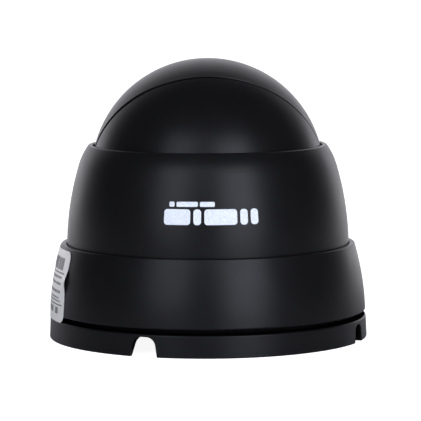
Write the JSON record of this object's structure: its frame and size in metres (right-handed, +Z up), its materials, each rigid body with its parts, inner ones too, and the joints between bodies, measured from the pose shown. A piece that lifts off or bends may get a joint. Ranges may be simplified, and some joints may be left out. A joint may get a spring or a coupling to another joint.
{
  "type": "dome cctv camera",
  "caption": "Compact ceiling dome camera: black two-ring metal housing on a round base, holding a tilting ball with an infrared lens window.",
  "frame": {"origin": "centre of the mounting base's underside", "axes": "+Z up, from the mounting face through the ball; the lens looks along +Y, tilted up 31.7 degrees at rest; +X to the right when looking along +Y"},
  "size_m": [0.0944, 0.0944, 0.0826],
  "materials": {
    "black_paint": "satin black powder coat on die-cast aluminium",
    "ball_paint": "smooth satin black paint on die-cast aluminium",
    "bezel_paint": "satin black",
    "black_rubber": "matt",
    "nylon": "natural nylon",
    "zinc_steel": "zinc plated",
    "silver_label": "satin foil sticker",
    "window_glass": "clear flat window",
    "black_board": "black solder mask",
    "led_resin": "clear epoxy",
    "sensor_ceramic": "photocell face",
    "foam": "closed-cell foam",
    "black_plastic": "moulded",
    "anodised_black": "black anodised",
    "lens_glass": "coated glass",
    "filter_glass": "infrared cut filter",
    "chip_ceramic": "sensor package",
    "green_board": "green solder mask",
    "chip_plastic": "moulded chip packages",
    "can_aluminium": "capacitor cans",
    "white_plastic": "moulded"
  },
  "bodies": {
    "base": {"mounting_base": "black_paint", "base_gasket": "black_rubber", "housing_screws": "zinc_steel", "lower_housing": "black_paint", "label": "silver_label"},
    "clamp": {"clamp_ring": "black_paint", "clamp_oring": "black_rubber"},
    "pan": {"seat_ring": "nylon"},
    "tilt": {"shell_gasket": "black_rubber"},
    "ball": {"ball_rear_shell": "ball_paint", "ball_front_shell": "ball_paint", "window_gasket": "black_rubber", "window_glass": "window_glass", "window_bezel": "bezel_paint", "led_board": "black_board", "ir_leds": "led_resin", "led_board_screws": "zinc_steel", "light_sensor": "sensor_ceramic", "lens_shroud": "foam", "lens_holder": "black_plastic", "lens_holder_screws": "zinc_steel", "lens_set_screw": "zinc_steel", "ir_cut_filter": "filter_glass", "image_sensor": "chip_ceramic", "sensor_board": "green_board", "sensor_board_screws": "zinc_steel", "board_chips": "chip_plastic", "board_capacitors": "can_aluminium", "board_link": "black_plastic", "cable_connector": "white_plastic", "cable_grommet": "black_rubber"},
    "lens": {"lens_barrel": "anodised_black", "lens_retaining_ring": "anodised_black", "front_lens": "lens_glass", "rear_lens": "lens_glass"}
  },
  "joints": [
    {"name": "clamp_turn", "type": "hinge", "parent": "base", "child": "clamp", "pos_m": [0, 0, 0.03], "axis": [0, 0, 1], "range_deg": [0, 360]},
    {"name": "ball_pan", "type": "hinge", "parent": "base", "child": "pan", "pos_m": [0, 0, 0.04798], "axis": [0, 0, 1], "range_deg": [-175, 175]},
    {"name": "ball_tilt", "type": "hinge", "parent": "pan", "child": "tilt", "pos_m": [0, 0, 0.04798], "axis": [1, 0, 0], "range_deg": [-5.7, 58.3]},
    {"name": "ball_roll", "type": "hinge", "parent": "tilt", "child": "ball", "pos_m": [0, 0, 0.04798], "axis": [0, 0.8508, 0.5255], "range_deg": [-175, 175]},
    {"name": "lens_focus", "type": "hinge", "parent": "ball", "child": "lens", "pos_m": [0, 0, 0.04798], "axis": [0, 0.8508, 0.5255], "range_deg": [-180, 180]}
  ]
}
